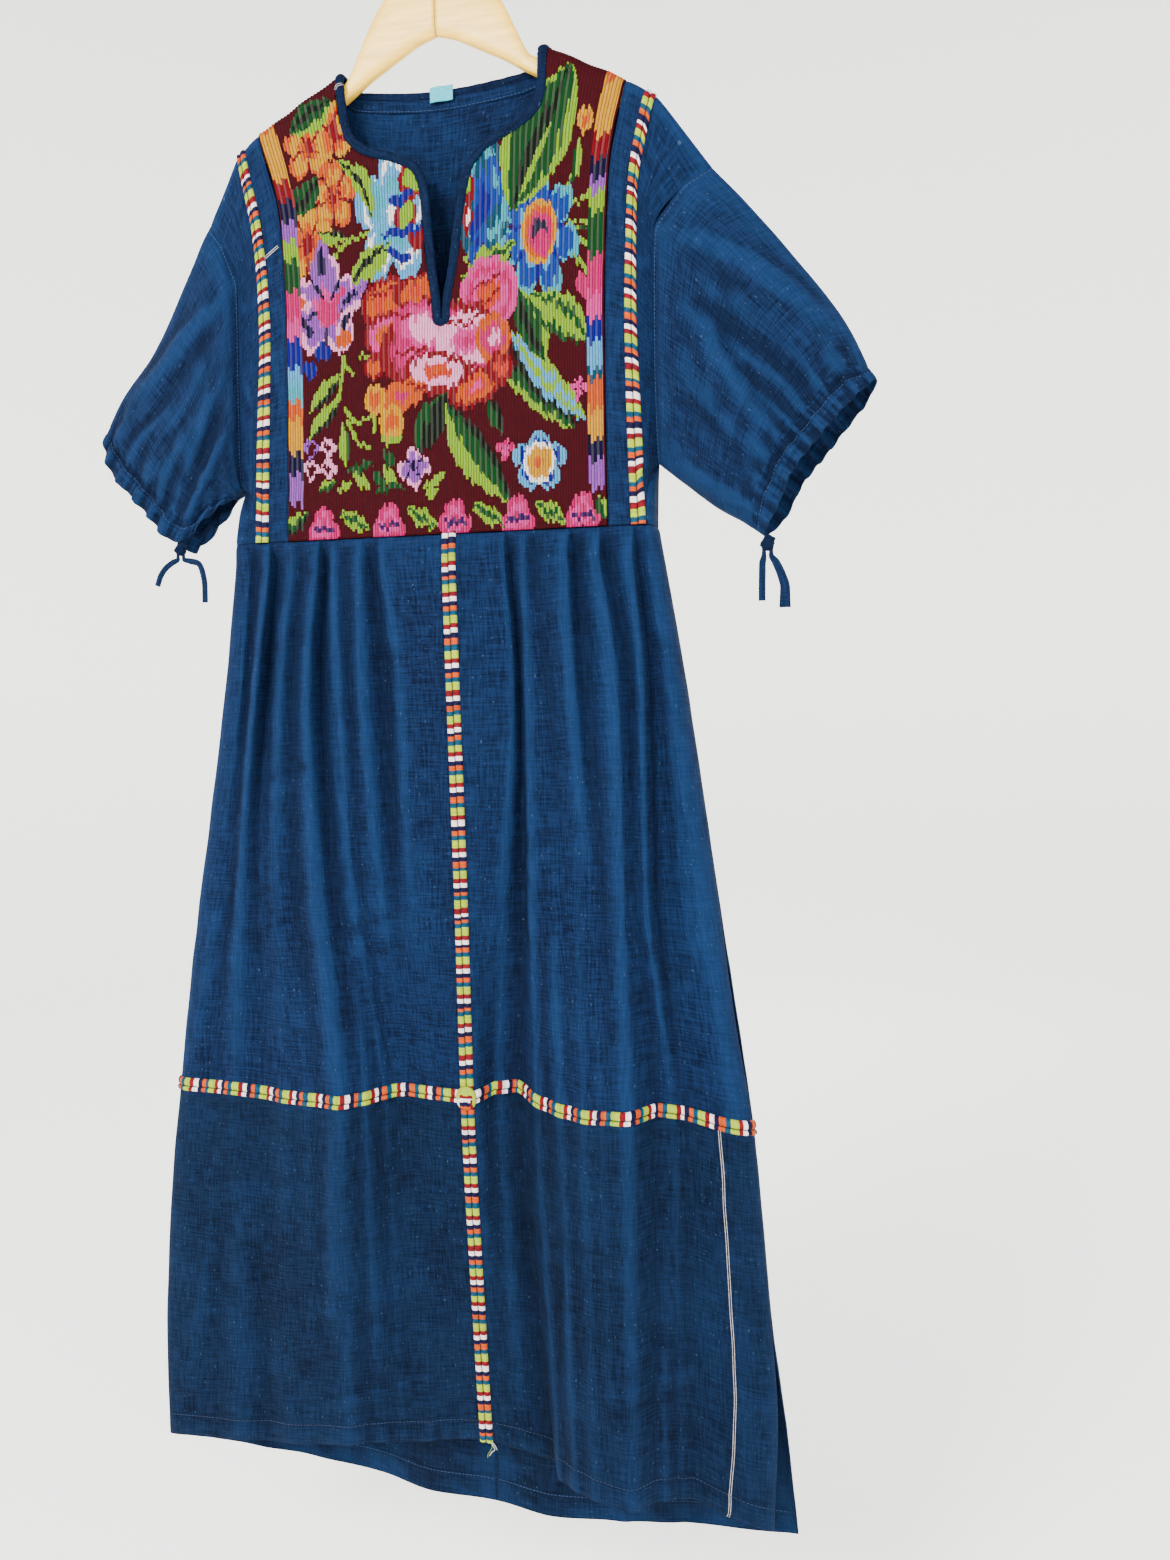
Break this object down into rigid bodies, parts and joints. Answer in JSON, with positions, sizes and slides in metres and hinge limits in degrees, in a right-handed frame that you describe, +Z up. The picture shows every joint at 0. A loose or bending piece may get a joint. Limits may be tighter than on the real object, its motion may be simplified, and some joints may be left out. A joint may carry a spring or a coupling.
{
  "type": "embroidered dress on a wooden hanger",
  "caption": "Indigo cotton dress with a floral brocade yoke, striped randa seams, pleated skirt with side slits and tied sleeves, on a wooden hanger.",
  "frame": {"origin": "inside top of the hanger's hook, where it rests on its rail", "axes": "+Z up, +X to the viewer's right across the front, and the dress front faces -Y"},
  "size_m": [0.7313, 0.0856, 1.4898],
  "materials": {
    "indigo_cotton": "matt plain weave with slubs",
    "brocade": "ribbed, matt to soft sheen",
    "randa_thread": "soft sheen",
    "turquoise_tape": "matt",
    "wood": "clear satin",
    "wire": "polished"
  },
  "bodies": {
    "root": {"bodice_back": "indigo_cotton", "bodice_side_left": "indigo_cotton", "bodice_side_right": "indigo_cotton", "cuff_back_left": "indigo_cotton", "cuff_back_right": "indigo_cotton", "cuff_front_left": "indigo_cotton", "cuff_front_right": "indigo_cotton", "floral_panel": "brocade", "hanger_arm_left": "wood", "hanger_arm_right": "wood", "hanger_hook": "wire", "neck_binding": "indigo_cotton", "neck_tab": "turquoise_tape", "skirt_back_left": "indigo_cotton", "skirt_back_right": "indigo_cotton", "skirt_lower_left": "indigo_cotton", "skirt_lower_right": "indigo_cotton", "skirt_upper_left": "indigo_cotton", "skirt_upper_right": "indigo_cotton", "sleeve_back_left": "indigo_cotton", "sleeve_back_right": "indigo_cotton", "sleeve_front_left": "indigo_cotton", "sleeve_front_right": "indigo_cotton", "tie_end_left_inner": "indigo_cotton", "tie_end_left_outer": "indigo_cotton", "tie_end_right_inner": "indigo_cotton", "tie_end_right_outer": "indigo_cotton", "tie_knot_left": "indigo_cotton", "tie_knot_right": "indigo_cotton", "trim_centre_lower": "randa_thread", "trim_centre_upper": "randa_thread", "trim_knee_left": "randa_thread", "trim_knee_right": "randa_thread", "trim_yoke_left": "randa_thread", "trim_yoke_right": "randa_thread", "yoke_strip_left": "indigo_cotton", "yoke_strip_right": "indigo_cotton"}
  },
  "joints": []
}
